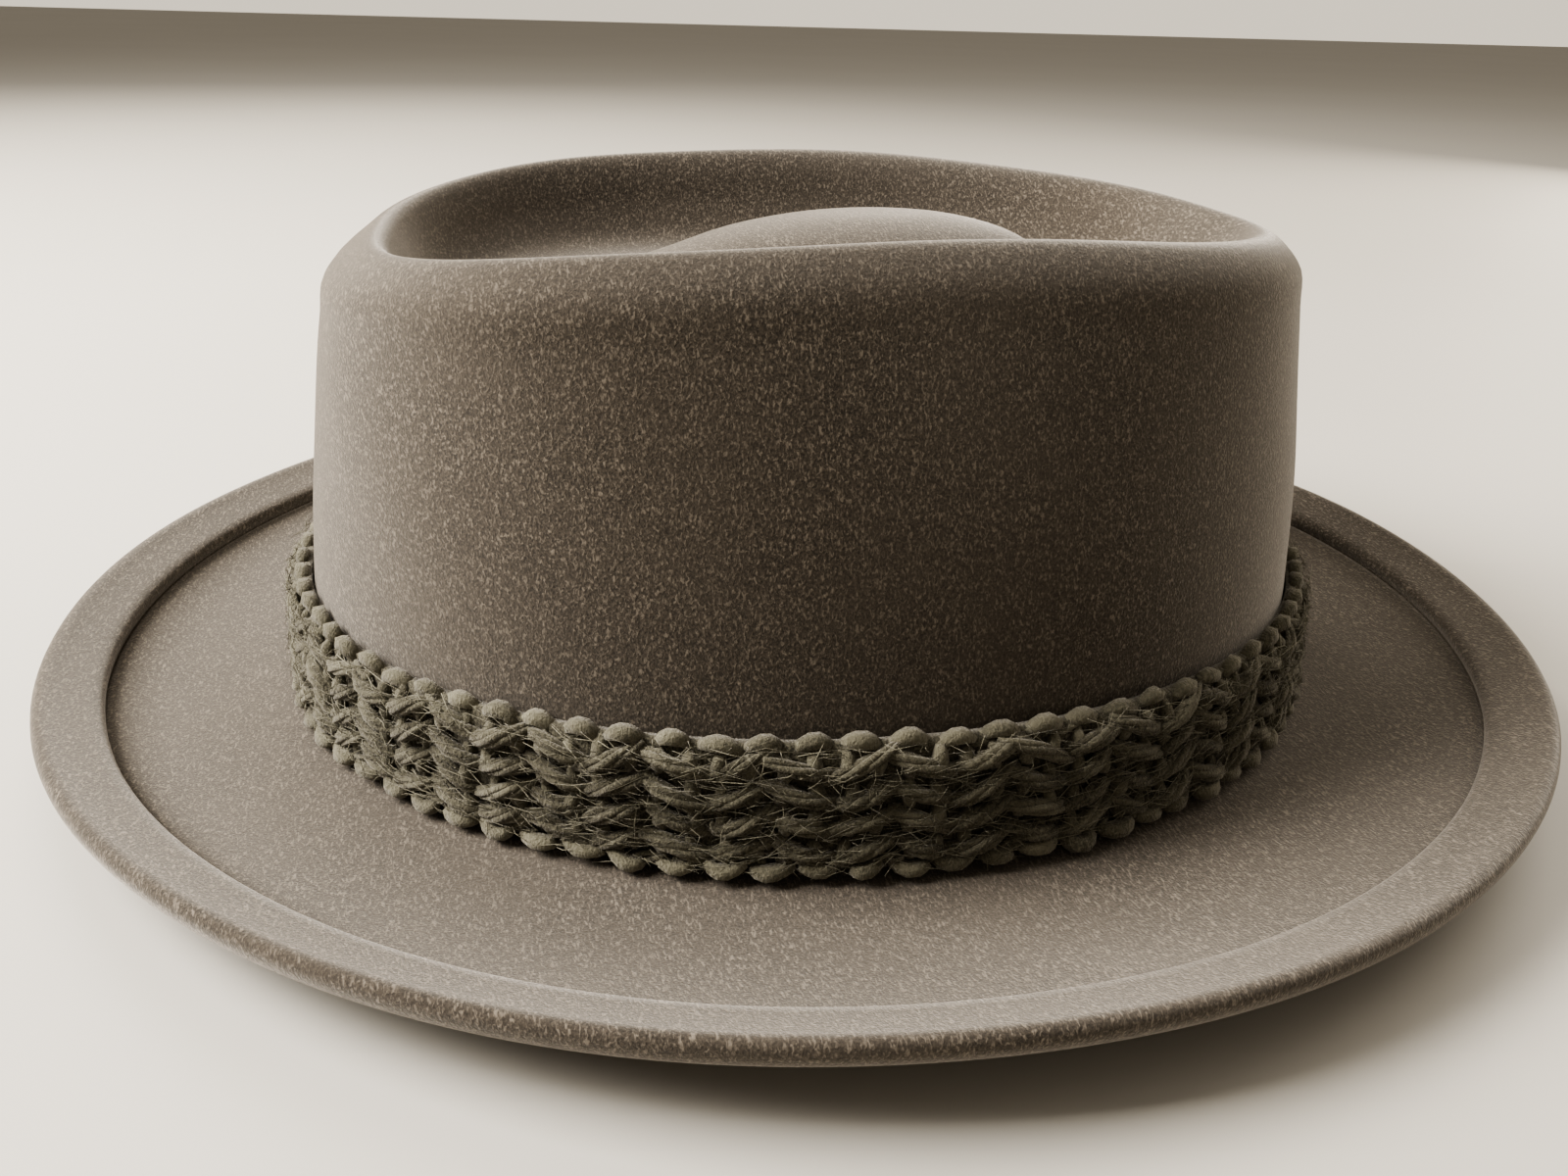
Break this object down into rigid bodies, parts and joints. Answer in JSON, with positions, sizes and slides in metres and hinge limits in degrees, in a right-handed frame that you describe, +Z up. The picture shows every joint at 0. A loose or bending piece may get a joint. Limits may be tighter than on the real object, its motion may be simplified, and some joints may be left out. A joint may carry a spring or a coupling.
{
  "type": "fedora hat",
  "caption": "Felt fedora with a teardrop creased crown, a brim with a turned-up welted edge and a crocheted wool band that slips off over the crown.",
  "frame": {"origin": "on the surface that the hat stands on, under the middle of the head opening", "axes": "+X to the front of the hat, +Y to its left side, +Z up"},
  "size_m": [0.304, 0.287, 0.095],
  "materials": {
    "felt": "brushed wool felt, matt with a short nap",
    "crochet_wool": "chunky spun wool yarn, matt",
    "sweatband_leather": "smooth vegetable-tanned leather, semi-matt",
    "reed": "extruded reed, satin",
    "ribbon": "grosgrain ribbon",
    "thread": "waxed thread",
    "satin": "satin weave lining",
    "piping": "covered cord piping",
    "tag_paper": "plain card, matt"
  },
  "bodies": {
    "hat": {"felt_body": "felt", "sweatband": "sweatband_leather", "sweatband_reed": "reed", "sweatband_tape": "ribbon", "sweatband_bow": "ribbon", "sweatband_stitches": "thread", "lining_side": "satin", "lining_piping": "piping", "lining_tip": "satin", "size_tag": "tag_paper"},
    "band": {"hatband": "crochet_wool", "hatband_seam": "crochet_wool", "hatband_lower_edging": "crochet_wool", "hatband_upper_edging": "crochet_wool"}
  },
  "joints": [
    {"name": "band_lift", "type": "slide", "parent": "hat", "child": "band", "axis": [0, 0, 1], "range_m": [0, 0.105]}
  ]
}
